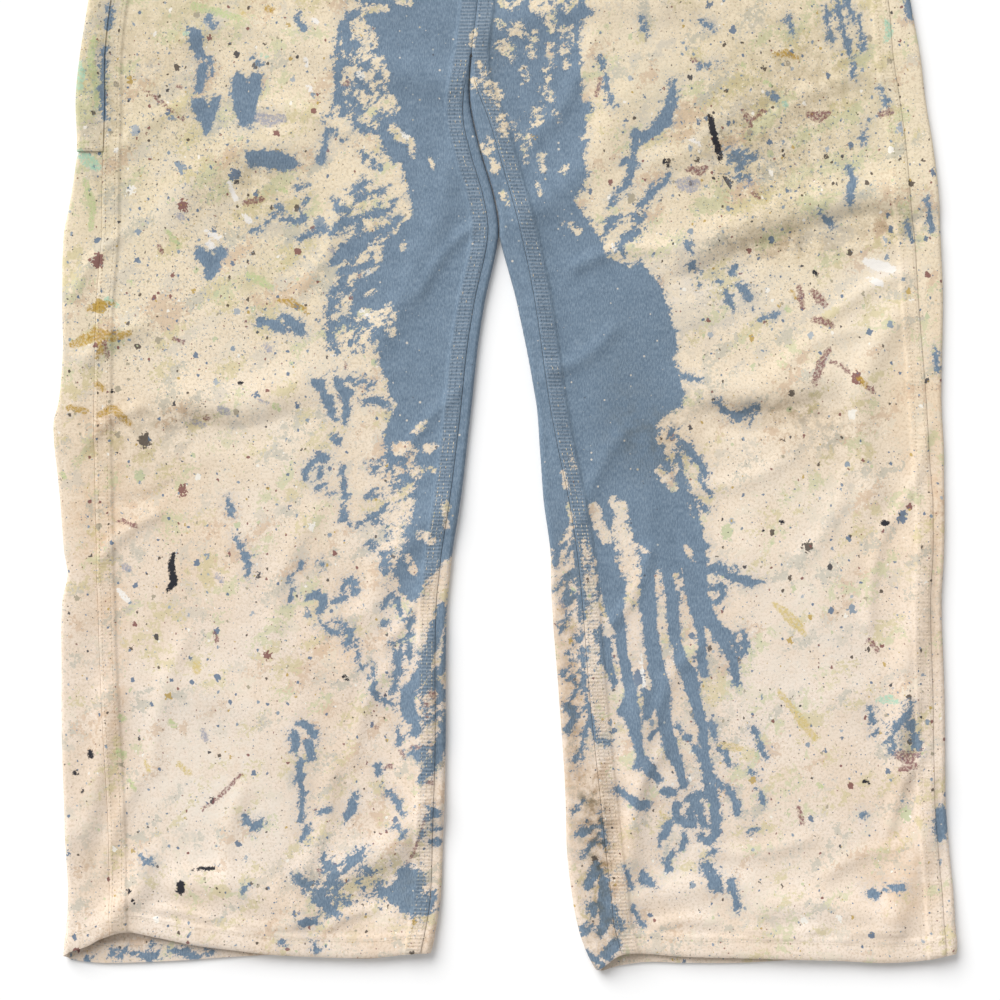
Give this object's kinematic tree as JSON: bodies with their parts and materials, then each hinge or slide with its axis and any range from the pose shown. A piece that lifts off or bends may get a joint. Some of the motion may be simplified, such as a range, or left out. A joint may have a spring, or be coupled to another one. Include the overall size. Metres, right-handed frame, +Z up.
{
  "type": "paint spattered bib overalls",
  "caption": "Bib overalls in cream canvas, laid flat face up, heavily spattered and splashed with blue and mixed house paint.",
  "frame": {"origin": "middle of the garment's outline, on the surface it lies on", "axes": "+Y up the garment from the hems to the shoulders, +X towards the wearer's left leg, +Z up off the surface, out of the garment's front"},
  "size_m": [0.6846, 1.451, 0.0132],
  "materials": {
    "canvas": "worn cream cotton canvas with dried blue and mixed paint",
    "slide_wire": "worn nickel plated wire",
    "button_metal": "worn stamped metal, slightly dull"
  },
  "bodies": {
    "root": {"leg_back_right": "canvas", "leg_back_left": "canvas", "leg_front_right": "canvas", "leg_front_left": "canvas", "rule_pocket": "canvas", "waistband": "canvas", "bib": "canvas", "back_upper": "canvas", "strap_right": "canvas", "strap_left": "canvas", "slide_right": "slide_wire", "slide_left": "slide_wire", "bib_button_right": "button_metal", "bib_button_left": "button_metal", "side_button_upper_right": "button_metal", "side_button_upper_left": "button_metal", "side_button_lower_right": "button_metal", "side_button_lower_left": "button_metal"}
  },
  "joints": []
}
